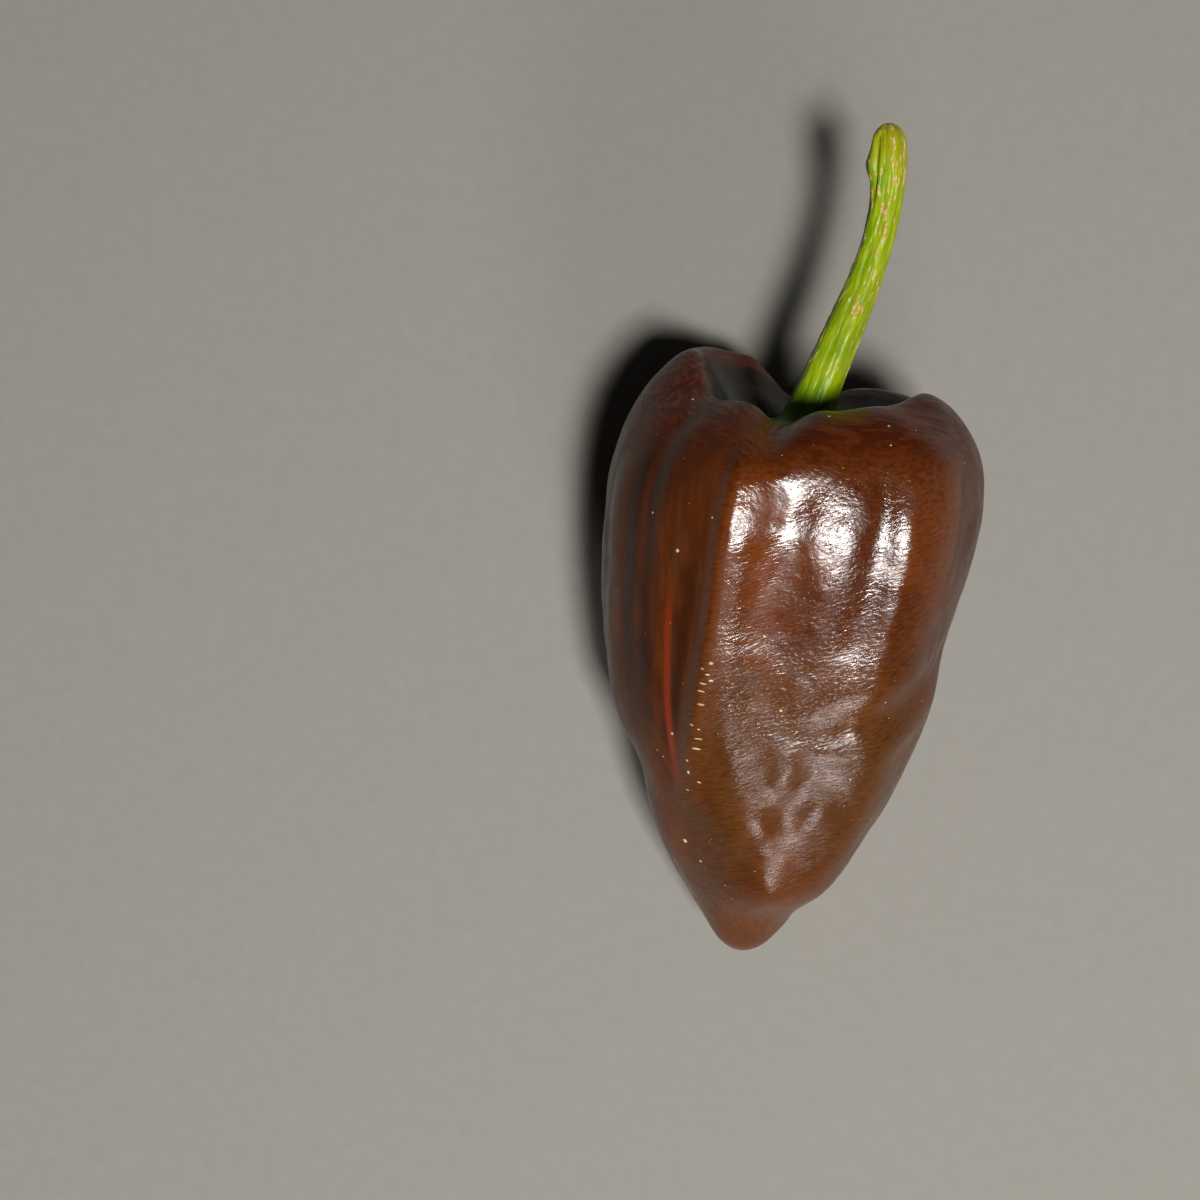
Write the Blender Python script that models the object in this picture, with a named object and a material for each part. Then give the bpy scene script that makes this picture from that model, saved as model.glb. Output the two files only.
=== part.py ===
"""A ripe chilhuacle negro chilli, picked with its stem and lying on its side.

The pod's axis runs along Y, with the stem towards +Y and the tip towards -Y. The pod rests on Z = 0
and its crown is tipped up a little. Lengths are in metres.

A place on the pod is given as in a map: an angle round the axis, in degrees, where 0 is +X, 90 is up
and 180 is -X, and a station, the distance along the axis from the calyx's seat towards the tip.
"""

import math

import bmesh
import bpy
from mathutils import Matrix, Vector, noise

MM = 0.001

# The pod lies on its flank, so its crown is higher than its tip.
CROWN_TILT = math.radians(9.5)
# A ripe pod is a little soft: it settles this far into the flat spot that it rests on.
SETTLE = 0.7 * MM

# Half of the pod's outline, from the seat of the calyx over the shoulder and down to the tip:
# station, radius, lean of the axis towards +X, share of the shoulder's rise, share of the relief.
POD_OUTLINE = (
    (3.7, 0.0, 0.0, 0.0, 0.0),
    (3.7, 4.8, 0.0, 0.0, 0.0),
    (3.1, 9.2, 0.0, 0.0, 0.0),
    (1.2, 13.0, 0.0, 0.5, 0.5),
    (-0.2, 17.0, 0.0, 1.0, 1.0),
    (1.8, 21.8, 0.0, 0.75, 1.0),
    (6.2, 25.6, -0.1, 0.4, 1.0),
    (12.5, 26.9, -0.4, 0.12, 1.0),
    (20.0, 26.5, -0.8, 0.0, 1.0),
    (28.5, 25.3, -1.1, 0.0, 1.0),
    (36.5, 24.2, -1.0, 0.0, 1.0),
    (44.0, 22.7, -0.6, 0.0, 1.0),
    (51.5, 20.1, -0.1, 0.0, 1.0),
    (58.5, 17.0, 0.0, 0.0, 1.0),
    (65.0, 13.6, 0.0, 0.0, 1.0),
    (71.0, 9.6, 0.0, 0.0, 0.9),
    (76.0, 6.1, 0.0, 0.0, 0.5),
    (79.6, 3.2, 0.0, 0.0, 0.1),
    (81.0, 0.0, 0.0, 0.0, 0.0),
)
POD_FLATNESS = 0.95
POD_AROUND = 96
POD_RINGS = 58

# How high the shoulder stands over station 0 at each lobe, and at the dips between them.
SHOULDER_RISE = (
    (28.0, 4.7),
    (60.0, 2.2),
    (86.0, 1.2),
    (107.0, -0.6),
    (127.0, 1.2),
    (147.0, 1.4),
    (184.0, 6.9),
    (210.0, 7.2),
    (237.0, 6.8),
    (270.0, 2.2),
    (312.0, 3.9),
    (350.0, 3.8),
)

# Furrows run from the shoulder towards the tip: angle, drift by the far end, depth, half width,
# first station, and the station where it has faded out.
FURROWS = (
    (107.0, 0.0, 1.4, 2.6, -9.0, 9.0),
    (97.0, -4.0, 1.1, 8.0, 2.0, 62.0),
    (69.5, 0.0, 0.5, 2.2, 0.0, 40.0),
    (119.5, 28.0, 0.4, 2.3, 3.0, 62.0),
    (129.5, 6.0, 0.3, 1.6, 10.0, 62.0),
    (142.0, -4.0, 0.6, 2.5, -9.0, 34.0),
    (150.5, 0.0, 0.25, 1.8, 4.0, 50.0),
    (168.0, 0.0, 0.3, 1.8, 6.0, 50.0),
    (212.0, -8.0, 1.7, 4.2, 0.0, 66.0),
    (272.0, 4.0, 1.6, 5.0, -9.0, 44.0),
    (350.0, -6.0, 1.6, 4.5, -9.0, 52.0),
)

# Long low ribs: angle, drift by the far end, height, half width to the right and to the left, first
# and last station. The first two make the sharp ridge along the front, and the third the pod's
# squarish shoulder on the right.
RIBS = (
    (112.4, 28.0, 1.1, 4.6, 1.6, 0.0, 64.0),
    (111.0, 28.0, 1.1, 6.0, 6.0, -2.0, 64.0),
    (54.0, 4.0, 2.5, 7.0, 7.0, -4.0, 62.0),
    (60.5, 0.0, 0.35, 1.6, 1.6, 8.0, 44.0),
)

# Bumps, and dents with a negative height: angle, station, height, half length, half width, and the
# slant of the length from round the pod towards the tip.
BUMPS = (
    (84.0, 62.0, 1.1, 15.0, 8.5, 0.0),
    (107.0, 56.0, 1.3, 5.0, 12.0, 0.0),
    (53.0, 57.0, 1.3, 5.5, 10.0, 0.0),
    (81.0, 55.0, -0.7, 5.0, 9.0, 0.0),
    (50.0, 37.8, -1.2, 10.5, 2.8, 21.0),
    (42.0, 41.0, 0.7, 12.0, 2.6, 16.0),
    (86.0, 49.0, 0.6, 2.6, 4.6, 0.0),
    (94.5, 56.5, 1.0, 3.6, 4.8, 20.0),
    (88.0, 66.0, 1.0, 3.6, 4.4, 0.0),
    (74.0, 55.0, 0.9, 2.6, 4.8, -15.0),
    (57.0, 59.5, 0.6, 5.0, 4.4, 25.0),
    (67.0, 67.0, 1.1, 7.0, 4.6, -8.0),
    (52.0, 47.5, 0.5, 3.4, 4.6, 0.0),
    (98.0, 62.0, -0.4, 2.0, 5.0, 0.0),
    (8.0, 71.5, -1.7, 5.0, 3.2, 0.0),
    (182.0, 53.0, -1.6, 8.0, 5.0, 0.0),
    (228.0, 36.0, 0.8, 6.0, 6.0, 0.0),
    (318.0, 44.0, -0.8, 7.0, 3.0, 25.0),
    (235.0, 60.0, 0.7, 4.0, 4.0, 0.0),
    (246.0, 22.0, 1.6, 7.0, 12.0, 0.0),
    (297.0, 22.0, 1.6, 7.0, 12.0, 0.0),
)
SWELL_HEIGHT = 0.35 * MM
SWELL_SIZE = 11.0 * MM

# The stem leaves the seat and bends: its centre line, as sideways, along and up from the seat.
STEM_SEAT = 1.25
STEM_PATH = (
    (-0.1, 0.0, 0.0),
    (3.8, 17.0, 0.4),
    (9.6, 25.8, 0.8),
    (5.9, 42.3, 1.2),
)
# Half of the outline of the calyx and stem, from the underside of the calyx, round its rim and up
# the stem to its end: height over the calyx's seat, radius, share of the calyx's teeth.
STEM_OUTLINE = (
    (-2.1, 0.0, 0.0),
    (-2.0, 4.4, 0.1),
    (-1.3, 7.9, 1.0),
    (-0.4, 7.7, 1.0),
    (-0.5, 5.2, 0.15),
    (0.8, 3.8, 0.0),
    (4.0, 3.15, 0.0),
    (8.0, 2.9, 0.0),
    (14.0, 2.65, 0.0),
    (20.0, 2.4, 0.0),
    (26.0, 2.2, 0.0),
    (31.5, 2.15, 0.0),
    (36.5, 2.3, 0.0),
    (40.3, 2.45, 0.0),
    (42.9, 2.1, 0.0),
    (44.1, 1.2, 0.0),
    (44.5, 0.0, 0.0),
)
CALYX_TEETH = 6
TOOTH_LENGTH = 0.7 * MM
STEM_RIDGES = 5
STEM_RIDGE_HEIGHT = 0.14 * MM
# A leaf once sat on the lump beside the stem's end: angle, height over the seat, rise, half size.
STEM_LUMP = (188.0, 39.2, 0.7, 1.8)
STEM_AROUND = 36
STEM_RINGS = 46

SKIN_BROWN = (0.075, 0.022, 0.009, 1.0)
STEM_GREEN = (0.24, 0.42, 0.035, 1.0)


def smooth_through(knots, share):
    """The point at a share of the way along a smooth curve through every knot, from pole to pole."""
    before = [knots[1][0], -knots[1][1], *knots[1][2:]]
    after = [knots[-2][0], -knots[-2][1], *knots[-2][2:]]
    padded = [before, *knots, after]
    place = min(share, 0.999999) * (len(knots) - 1)
    start = int(place)
    x = place - start
    return [
        b + 0.5 * x * (c - a + x * (2 * a - 5 * b + 4 * c - d + x * (3 * (b - c) + d - a)))
        for a, b, c, d in zip(*padded[start : start + 4])
    ]


def smooth_step(low, high, value):
    x = min(max((value - low) / (high - low), 0.0), 1.0)
    return x * x * (3 - 2 * x)


def bell(distance):
    return math.exp(-distance * distance)


def turn_between(angle, other):
    """The signed turn in degrees from one angle to the other, the short way round."""
    return (angle - other + 180.0) % 360.0 - 180.0


def shoulder_rise(angle):
    """The height of the shoulder at an angle, with each lobe and dip of SHOULDER_RISE as a turning point."""
    for i, (start, low) in enumerate(SHOULDER_RISE):
        end, high = SHOULDER_RISE[(i + 1) % len(SHOULDER_RISE)]
        width = (end - start) % 360.0
        past = (angle - start) % 360.0
        if past <= width:
            return low + (high - low) * smooth_step(0.0, width, past)
    return 0.0


def drifted(angle, drift, x):
    """The angle of a furrow or rib a share x of the way along it: it turns towards its far end."""
    return angle + drift * x**4


def pod_relief(angle, station, radius):
    """How far the skin stands out from the plain outline, in millimetres: furrows, ribs and bumps."""
    height = 0.0
    for at, drift, depth, half_width, first, end in FURROWS:
        across = turn_between(angle, drifted(at, drift, max(station, 0.0) / end))
        fade = smooth_step(first, first + 8.0, station) * (1.0 - smooth_step(0.3 * end, end, station))
        height -= depth * fade * bell(math.radians(across) * radius / half_width)
    for at, drift, rib, right, left, first, last in RIBS:
        middle = (first + last) / 2
        across = turn_between(angle, drifted(at, drift, max(station, 0.0) / last))
        fade = smooth_step(first, first + 10.0, station) * (1.0 - smooth_step(middle, last, station))
        height += rib * fade * bell(math.radians(across) * radius / (right if across < 0.0 else left))
    for at, where, bump, half_length, half_width, slant in BUMPS:
        across = math.radians(turn_between(angle, at)) * radius
        along = station - where
        turned = math.radians(slant)
        length = across * math.cos(turned) + along * math.sin(turned)
        width = along * math.cos(turned) - across * math.sin(turned)
        height += bump * bell(math.hypot(length / half_length, width / half_width))
    return height


def pod_outline(angle, share):
    """Station and radius of the plain outline at an angle, the axis's lean and the relief's share."""
    station, radius, lean, rise, relief = smooth_through(POD_OUTLINE, share)
    return Vector((station - rise * shoulder_rise(angle), radius)), lean, relief


def pod_skin(angle, share):
    """The point of the pod's skin at an angle, a share of the way from the calyx's seat to the tip."""
    step = 0.002
    place, lean, relief = pod_outline(angle, share)
    ahead = pod_outline(angle, min(share + step, 1.0))[0]
    behind = pod_outline(angle, max(share - step, 0.0))[0]
    run = (ahead - behind).normalized()
    outwards = Vector((-run.y, run.x))
    turn = math.radians(angle)
    around = Vector((math.cos(turn), 0.0, math.sin(turn)))
    point = around * place.y * MM - Vector((0.0, place.x * MM, 0.0))
    height = relief * pod_relief(angle, place.x, place.y) * MM
    height += relief * SWELL_HEIGHT * noise.noise(point / SWELL_SIZE)
    point += around * outwards.y * height - Vector((0.0, outwards.x * height, 0.0))
    return Vector((point.x + lean * MM, point.y, point.z * POD_FLATNESS))


def ball(around, rings):
    """A closed ball whose vertices are read as an angle and a share of the way from pole to pole."""
    mesh = bmesh.new()
    bmesh.ops.create_uvsphere(mesh, u_segments=around, v_segments=rings, radius=1.0)
    places = []
    for vertex in mesh.verts:
        angle = math.degrees(math.atan2(vertex.co.y, vertex.co.x))
        places.append((vertex, angle, math.acos(max(-1.0, min(1.0, vertex.co.z))) / math.pi))
    return mesh, places


def skin_material(name, colour, roughness):
    material = bpy.data.materials.new(name)
    material.use_nodes = True
    shader = material.node_tree.nodes["Principled BSDF"]
    shader.inputs["Base Color"].default_value = colour
    shader.inputs["Roughness"].default_value = roughness
    shader.inputs["Metallic"].default_value = 0.0
    return material


def finished(mesh, name, material, parts):
    """Turns the closed shape into an object of its own, with its faces pointing out."""
    if mesh.calc_volume(signed=True) < 0.0:
        bmesh.ops.reverse_faces(mesh, faces=mesh.faces)
    data = bpy.data.meshes.new(name)
    mesh.to_mesh(data)
    mesh.free()
    data.shade_smooth()
    data.materials.append(material)
    piece = bpy.data.objects.new(name, data)
    parts.objects.link(piece)
    return piece


def pod(parts):
    """The pod: one hollow berry, whose outer skin is modelled as one closed solid."""
    mesh, places = ball(POD_AROUND, POD_RINGS)
    for vertex, angle, share in places:
        vertex.co = pod_skin(angle, share)
    return finished(mesh, "pod", skin_material("pod_skin", SKIN_BROWN, 0.28), parts)


def stem_line(height):
    """The stem's centre line at a height over the seat: the point and the way that it runs."""
    seat = Vector((0.0, -STEM_SEAT, 0.0)) * MM
    a, b, c, d = (seat + Vector(p) * MM for p in STEM_PATH)
    x = max(height, 0.0) / STEM_OUTLINE[-1][0]
    point = (1 - x) ** 3 * a + 3 * x * (1 - x) ** 2 * b + 3 * x * x * (1 - x) * c + x**3 * d
    along = (1 - x) ** 2 * (b - a) + 2 * x * (1 - x) * (c - b) + x * x * (d - c)
    return point + Vector((0.0, min(height, 0.0) * MM, 0.0)), along.normalized()


def stem_skin(angle, share):
    """The point of the calyx's and stem's skin at an angle, a share of the way from below to the end."""
    height, radius, teeth = smooth_through(STEM_OUTLINE, share)
    turn = math.radians(angle)
    radius = radius * MM + teeth * TOOTH_LENGTH * math.cos(CALYX_TEETH * turn)
    radius += (1 - teeth) * STEM_RIDGE_HEIGHT * smooth_step(0.0, 3.0, height) * math.cos(STEM_RIDGES * turn)
    at, where, lump, half_size = STEM_LUMP
    across = math.radians(turn_between(angle, at)) * radius / MM
    radius += lump * MM * bell(math.hypot(across, height - where) / half_size)
    centre, along = stem_line(height)
    lean = smooth_step(-0.5, 6.0, height)
    along = Vector((0.0, 1.0, 0.0)).lerp(along, lean).normalized()
    sideways = along.cross(Vector((0.0, 0.0, 1.0))).normalized()
    upwards = sideways.cross(along)
    return centre + (sideways * math.cos(turn) + upwards * math.sin(turn)) * radius


def stem_and_calyx(parts):
    """The stem and the calyx that it spreads into: one green piece, seated in the pod's crown."""
    mesh, places = ball(STEM_AROUND, STEM_RINGS)
    for vertex, angle, share in places:
        vertex.co = stem_skin(angle, share)
    return finished(mesh, "stem_and_calyx", skin_material("stem_skin", STEM_GREEN, 0.45), parts)


def lay_down(pieces):
    """Tips the crown up, sets the pod on Z = 0 with flat spots, and centres the whole on the origin."""
    tip_up = Matrix.Rotation(CROWN_TILT, 4, "X")
    for piece in pieces:
        piece.data.transform(tip_up)
    lowest = min(v.co.z for v in pieces[0].data.vertices)
    places = [v.co for piece in pieces for v in piece.data.vertices]
    middle_x = (min(p.x for p in places) + max(p.x for p in places)) / 2
    middle_y = (min(p.y for p in places) + max(p.y for p in places)) / 2
    shift = Vector((-middle_x, -middle_y, -lowest - SETTLE))
    for piece in pieces:
        for vertex in piece.data.vertices:
            vertex.co += shift
            vertex.co.z = max(vertex.co.z, 0.0)


def main():
    for thing in list(bpy.data.objects):
        bpy.data.objects.remove(thing)
    parts = bpy.data.collections.new("chilhuacle_negro_pepper")
    bpy.context.scene.collection.children.link(parts)
    lay_down([pod(parts), stem_and_calyx(parts)])


main()
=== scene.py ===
"""A ripe chilhuacle negro chilli, picked with its stem and lying on its side on a pale table.

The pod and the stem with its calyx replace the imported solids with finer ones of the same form. Lengths
are in metres, +Y runs from the pod's tip to its stem and the table's top is Z = 0.

A place on the pod is given as in a map: an angle round the axis, in degrees, where 0 is +X, 90 is up
and 180 is -X, and a station, the distance along the axis from the calyx's seat towards the tip.
"""

import math
import random

import bmesh
import bpy
from mathutils import Matrix, Vector, noise


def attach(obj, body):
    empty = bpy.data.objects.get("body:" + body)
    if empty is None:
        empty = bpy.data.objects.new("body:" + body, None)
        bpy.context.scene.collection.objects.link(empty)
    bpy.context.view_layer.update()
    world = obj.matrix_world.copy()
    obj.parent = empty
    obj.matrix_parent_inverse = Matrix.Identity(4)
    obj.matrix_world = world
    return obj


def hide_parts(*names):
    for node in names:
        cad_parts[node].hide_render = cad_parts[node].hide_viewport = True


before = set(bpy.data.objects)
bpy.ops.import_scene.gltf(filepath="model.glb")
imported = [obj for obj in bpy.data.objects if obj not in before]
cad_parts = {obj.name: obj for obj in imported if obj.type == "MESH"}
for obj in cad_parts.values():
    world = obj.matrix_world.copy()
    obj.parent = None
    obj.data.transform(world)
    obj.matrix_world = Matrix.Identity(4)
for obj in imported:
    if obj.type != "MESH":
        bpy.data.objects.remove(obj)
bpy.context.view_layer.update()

# The pod: one hollow berry with a leathery wall, lobed and furrowed, under a thin waxy skin. It grew
# as one piece, and lies on its flank with its crown tipped up, settled into a small flat spot.
MM = 0.001
CROWN_TILT = math.radians(9.5)
CALYX_SEAT = Vector((0.49, 19.76, 28.02)) * MM

# Half of the pod's outline, from the seat of the calyx over the shoulder and down to the tip:
# station, radius, lean of the axis towards +X, share of the shoulder's rise, share of the relief.
POD_OUTLINE = (
    (3.7, 0.0, 0.0, 0.0, 0.0),
    (3.7, 4.8, 0.0, 0.0, 0.0),
    (3.1, 9.2, 0.0, 0.0, 0.0),
    (1.2, 13.0, 0.0, 0.5, 0.5),
    (-0.2, 17.0, 0.0, 1.0, 1.0),
    (1.8, 21.8, 0.0, 0.75, 1.0),
    (6.2, 25.6, -0.1, 0.4, 1.0),
    (12.5, 26.9, -0.4, 0.12, 1.0),
    (20.0, 26.5, -0.8, 0.0, 1.0),
    (28.5, 25.3, -1.1, 0.0, 1.0),
    (36.5, 24.2, -1.0, 0.0, 1.0),
    (44.0, 22.7, -0.6, 0.0, 1.0),
    (51.5, 20.1, -0.1, 0.0, 1.0),
    (58.5, 17.0, 0.0, 0.0, 1.0),
    (65.0, 13.6, 0.0, 0.0, 1.0),
    (71.0, 9.6, 0.0, 0.0, 0.9),
    (76.0, 6.1, 0.0, 0.0, 0.5),
    (79.6, 3.2, 0.0, 0.0, 0.1),
    (81.0, 0.0, 0.0, 0.0, 0.0),
)
# The pod's depth as a share of its width, and how many faces its skin has round it and along it.
POD_FLATNESS = 0.95
POD_AROUND = 384
POD_RINGS = 256

# How high the shoulder stands over station 0 at each lobe, and at the dips between them.
SHOULDER_RISE = (
    (28.0, 4.7),
    (60.0, 2.2),
    (86.0, 1.2),
    (107.0, -0.6),
    (127.0, 1.2),
    (147.0, 1.4),
    (184.0, 6.9),
    (210.0, 7.2),
    (237.0, 6.8),
    (270.0, 2.2),
    (312.0, 3.9),
    (350.0, 3.8),
)

# Furrows run from the shoulder towards the tip: angle, drift by the far end, depth, half width,
# first station, and the station where it has faded out.
FURROWS = (
    (107.0, 0.0, 1.4, 2.6, -9.0, 9.0),
    (97.0, -4.0, 1.1, 8.0, 2.0, 62.0),
    (69.5, 0.0, 0.5, 2.2, 0.0, 40.0),
    (119.5, 28.0, 0.4, 2.3, 3.0, 62.0),
    (129.5, 6.0, 0.3, 1.6, 10.0, 62.0),
    (142.0, -4.0, 0.6, 2.5, -9.0, 34.0),
    (150.5, 0.0, 0.25, 1.8, 4.0, 50.0),
    (168.0, 0.0, 0.3, 1.8, 6.0, 50.0),
    (212.0, -8.0, 1.7, 4.2, 0.0, 66.0),
    (272.0, 4.0, 1.6, 5.0, -9.0, 44.0),
    (350.0, -6.0, 1.6, 4.5, -9.0, 52.0),
)

# Long low ribs: angle, drift by the far end, height, half width to the right and to the left, first
# and last station. The first two make the sharp ridge along the front, and the third the pod's
# squarish shoulder on the right.
RIBS = (
    (112.4, 28.0, 1.1, 4.6, 1.6, 0.0, 64.0),
    (111.0, 28.0, 1.1, 6.0, 6.0, -2.0, 64.0),
    (54.0, 4.0, 2.5, 7.0, 7.0, -4.0, 62.0),
    (60.5, 0.0, 0.35, 1.6, 1.6, 8.0, 44.0),
)

# Bumps, and dents with a negative height: angle, station, height, half length, half width, and the
# slant of the length from round the pod towards the tip.
BUMPS = (
    (84.0, 62.0, 1.1, 15.0, 8.5, 0.0),
    (107.0, 56.0, 1.3, 5.0, 12.0, 0.0),
    (53.0, 57.0, 1.3, 5.5, 10.0, 0.0),
    (81.0, 55.0, -0.7, 5.0, 9.0, 0.0),
    (50.0, 37.8, -1.2, 10.5, 2.8, 21.0),
    (42.0, 41.0, 0.7, 12.0, 2.6, 16.0),
    (86.0, 49.0, 0.6, 2.6, 4.6, 0.0),
    (94.5, 56.5, 1.0, 3.6, 4.8, 20.0),
    (88.0, 66.0, 1.0, 3.6, 4.4, 0.0),
    (74.0, 55.0, 0.9, 2.6, 4.8, -15.0),
    (57.0, 59.5, 0.6, 5.0, 4.4, 25.0),
    (67.0, 67.0, 1.1, 7.0, 4.6, -8.0),
    (52.0, 47.5, 0.5, 3.4, 4.6, 0.0),
    (98.0, 62.0, -0.4, 2.0, 5.0, 0.0),
    (8.0, 71.5, -1.7, 5.0, 3.2, 0.0),
    (182.0, 53.0, -1.6, 8.0, 5.0, 0.0),
    (228.0, 36.0, 0.8, 6.0, 6.0, 0.0),
    (318.0, 44.0, -0.8, 7.0, 3.0, 25.0),
    (235.0, 60.0, 0.7, 4.0, 4.0, 0.0),
    (246.0, 22.0, 1.6, 7.0, 12.0, 0.0),
    (297.0, 22.0, 1.6, 7.0, 12.0, 0.0),
)

# Slow irregular swells all over the skin.
SWELL_HEIGHT = 0.35 * MM
SWELL_SIZE = 11.0 * MM


def smooth_through(knots, share):
    """The point at a share of the way along a smooth curve through every knot, from pole to pole."""
    before = [knots[1][0], -knots[1][1], *knots[1][2:]]
    after = [knots[-2][0], -knots[-2][1], *knots[-2][2:]]
    padded = [before, *knots, after]
    place = min(share, 0.999999) * (len(knots) - 1)
    start = int(place)
    x = place - start
    return [
        b + 0.5 * x * (c - a + x * (2 * a - 5 * b + 4 * c - d + x * (3 * (b - c) + d - a)))
        for a, b, c, d in zip(*padded[start : start + 4])
    ]


def smooth_step(low, high, value):
    x = min(max((value - low) / (high - low), 0.0), 1.0)
    return x * x * (3 - 2 * x)


def bell(distance):
    return math.exp(-distance * distance)


def turn_between(angle, other):
    """The signed turn in degrees from one angle to the other, the short way round."""
    return (angle - other + 180.0) % 360.0 - 180.0


def round_from(angle, other, radius):
    """How far to the left of the other angle a place is, in millimetres round the skin."""
    return math.radians(turn_between(angle, other)) * radius


def shoulder_rise(angle):
    """The height of the shoulder at an angle: each lobe and dip of SHOULDER_RISE is a turning point."""
    for i, (start, low) in enumerate(SHOULDER_RISE):
        end, high = SHOULDER_RISE[(i + 1) % len(SHOULDER_RISE)]
        width = (end - start) % 360.0
        past = (angle - start) % 360.0
        if past <= width:
            return low + (high - low) * smooth_step(0.0, width, past)
    return 0.0


def band(value, start, full, fading, end):
    """1 from full to fading, with a smooth rise from start and a smooth fall to end."""
    return smooth_step(start, full, value) * (1.0 - smooth_step(fading, end, value))


def drifted(angle, drift, x):
    """The angle of a furrow or rib a share x of the way along it: it turns towards its far end."""
    return angle + drift * x**4


def pod_relief(angle, station, radius):
    """How far the skin stands out from the plain outline, in millimetres: furrows, ribs and bumps."""
    height = 0.0
    for at, drift, depth, half_width, first, end in FURROWS:
        across = round_from(angle, drifted(at, drift, max(station, 0.0) / end), radius)
        height -= depth * band(station, first, first + 8.0, 0.3 * end, end) * bell(across / half_width)
    for at, drift, rib, right, left, first, last in RIBS:
        across = round_from(angle, drifted(at, drift, max(station, 0.0) / last), radius)
        fade = band(station, first, first + 10.0, (first + last) / 2, last)
        height += rib * fade * bell(across / (right if across < 0.0 else left))
    for at, where, bump, half_length, half_width, slant in BUMPS:
        across = round_from(angle, at, radius)
        along = station - where
        turned = math.radians(slant)
        length = across * math.cos(turned) + along * math.sin(turned)
        width = along * math.cos(turned) - across * math.sin(turned)
        height += bump * bell(math.hypot(length / half_length, width / half_width))
    return height


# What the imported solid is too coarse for, in millimetres: the height of the ridge's sharp edge, of the
# shallow dents all over, and of the crinkles on the front.
EDGE_HEIGHT = 0.22
DENT_HEIGHT = 0.13
CRINKLE_HEIGHT = 0.06
FINE_CRINKLE_HEIGHT = 0.030


def left_of_ridge(angle, station, radius):
    """How far to the left of the ridge's crest a place is. The ridge is the first of the ribs."""
    at, drift, *_, last = RIBS[0]
    return round_from(angle, drifted(at, drift, max(station, 0.0) / last), radius)


def fine_relief(angle, station, radius):
    """The finer relief, in millimetres: the ridge's sharp edge, shallow dents and crinkles."""
    across = left_of_ridge(angle, station, radius)
    height = EDGE_HEIGHT * band(station, 2.0, 9.0, 38.0, 58.0) * bell((across + 0.5) / 0.8)
    turn = math.radians(angle)
    x = math.cos(turn) * radius
    z = math.sin(turn) * radius
    front = smooth_step(2.0, 10.0, station) * (1.0 - 0.75 * smooth_step(0.0, 5.0, across))
    height += DENT_HEIGHT * noise.noise(Vector((x / 4.6, station / 6.0, z / 4.6)))
    height += CRINKLE_HEIGHT * front * noise.noise(Vector((x / 2.3, station / 2.1, z / 2.3)))
    height += FINE_CRINKLE_HEIGHT * front * noise.noise(Vector((x / 1.5, station / 0.85, z / 1.5 + 9.0)))
    return height


def pod_outline(angle, share):
    """Station and radius of the plain outline at an angle, the axis's lean and the relief's share."""
    station, radius, lean, rise, relief = smooth_through(POD_OUTLINE, share)
    return Vector((station - rise * shoulder_rise(angle), radius)), lean, relief


def pod_skin(angle, share):
    """The point of the pod's skin at an angle, a share of the way from the calyx's seat to the tip."""
    step = 0.002
    place, lean, relief = pod_outline(angle, share)
    ahead = pod_outline(angle, min(share + step, 1.0))[0]
    behind = pod_outline(angle, max(share - step, 0.0))[0]
    run = (ahead - behind).normalized()
    outwards = Vector((-run.y, run.x))
    turn = math.radians(angle)
    around = Vector((math.cos(turn), 0.0, math.sin(turn)))
    point = around * place.y * MM - Vector((0.0, place.x * MM, 0.0))
    height = relief * (pod_relief(angle, place.x, place.y) + fine_relief(angle, place.x, place.y)) * MM
    height += relief * SWELL_HEIGHT * noise.noise(point / SWELL_SIZE)
    point += around * outwards.y * height - Vector((0.0, outwards.x * height, 0.0))
    return Vector((point.x + lean * MM, point.y, point.z * POD_FLATNESS))


def settled(point):
    """A point of the upright chilli where it lies: crown tipped up, and no lower than the table."""
    laid = Matrix.Rotation(CROWN_TILT, 3, "X") @ point + CALYX_SEAT
    laid.z = max(laid.z, 0.0)
    return laid


def ball(around, rings):
    """A closed ball whose vertices are read as an angle and a share of the way from pole to pole."""
    mesh = bmesh.new()
    mesh.verts.layers.float_color.new("zones")
    mesh.verts.layers.float_color.new("tones")
    mesh.verts.layers.float_vector.new("skin_map")
    mesh.verts.layers.float.new("satin")
    mesh.verts.layers.float.new("reflection_panel")
    bmesh.ops.create_uvsphere(mesh, u_segments=around, v_segments=rings, radius=1.0)
    places = []
    for vertex in mesh.verts:
        angle = math.degrees(math.atan2(vertex.co.y, vertex.co.x))
        places.append((vertex, angle, math.acos(max(-1.0, min(1.0, vertex.co.z))) / math.pi))
    return mesh, places


def finished(mesh, name, material):
    """Turns the closed shape into an object of its own, with its faces pointing out."""
    if mesh.calc_volume(signed=True) < 0.0:
        bmesh.ops.reverse_faces(mesh, faces=mesh.faces)
    data = bpy.data.meshes.new(name)
    mesh.to_mesh(data)
    mesh.free()
    data.shade_smooth()
    data.materials.append(material)
    piece = bpy.data.objects.new(name, data)
    bpy.context.collection.objects.link(piece)
    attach(piece, "root")
    return piece


# Places on the skin that have a look of their own, as angles: the red streak, the crisp edge of the
# painted reflection on the paler right shoulder, where the right flank starts, the notch in the crown's
# rim, and the lines of painted shade in the left flank's furrows, each with its depth.
STREAK_ANGLE = 129.5
SHOULDER_EDGE = 43.5
RIGHT_FLANK = 62.0
NOTCH_ANGLE = 116.0
FURROW_SHADE_LINES = ((139.5, 0.7), (148.5, 0.8), (170.0, 0.7))
# The valley beside the ridge, where a glow is painted: angle, drift, and the station by which it has
# drifted that far.
VALLEY = (101.0, -14.0, 58.0)
# Where the painted shade of the crown's hollow ends and where its green lip runs, as shares of the way
# over.
HOLLOW_ENDS = (0.185, 0.21)
LIP_SHARE = 0.206


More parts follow.
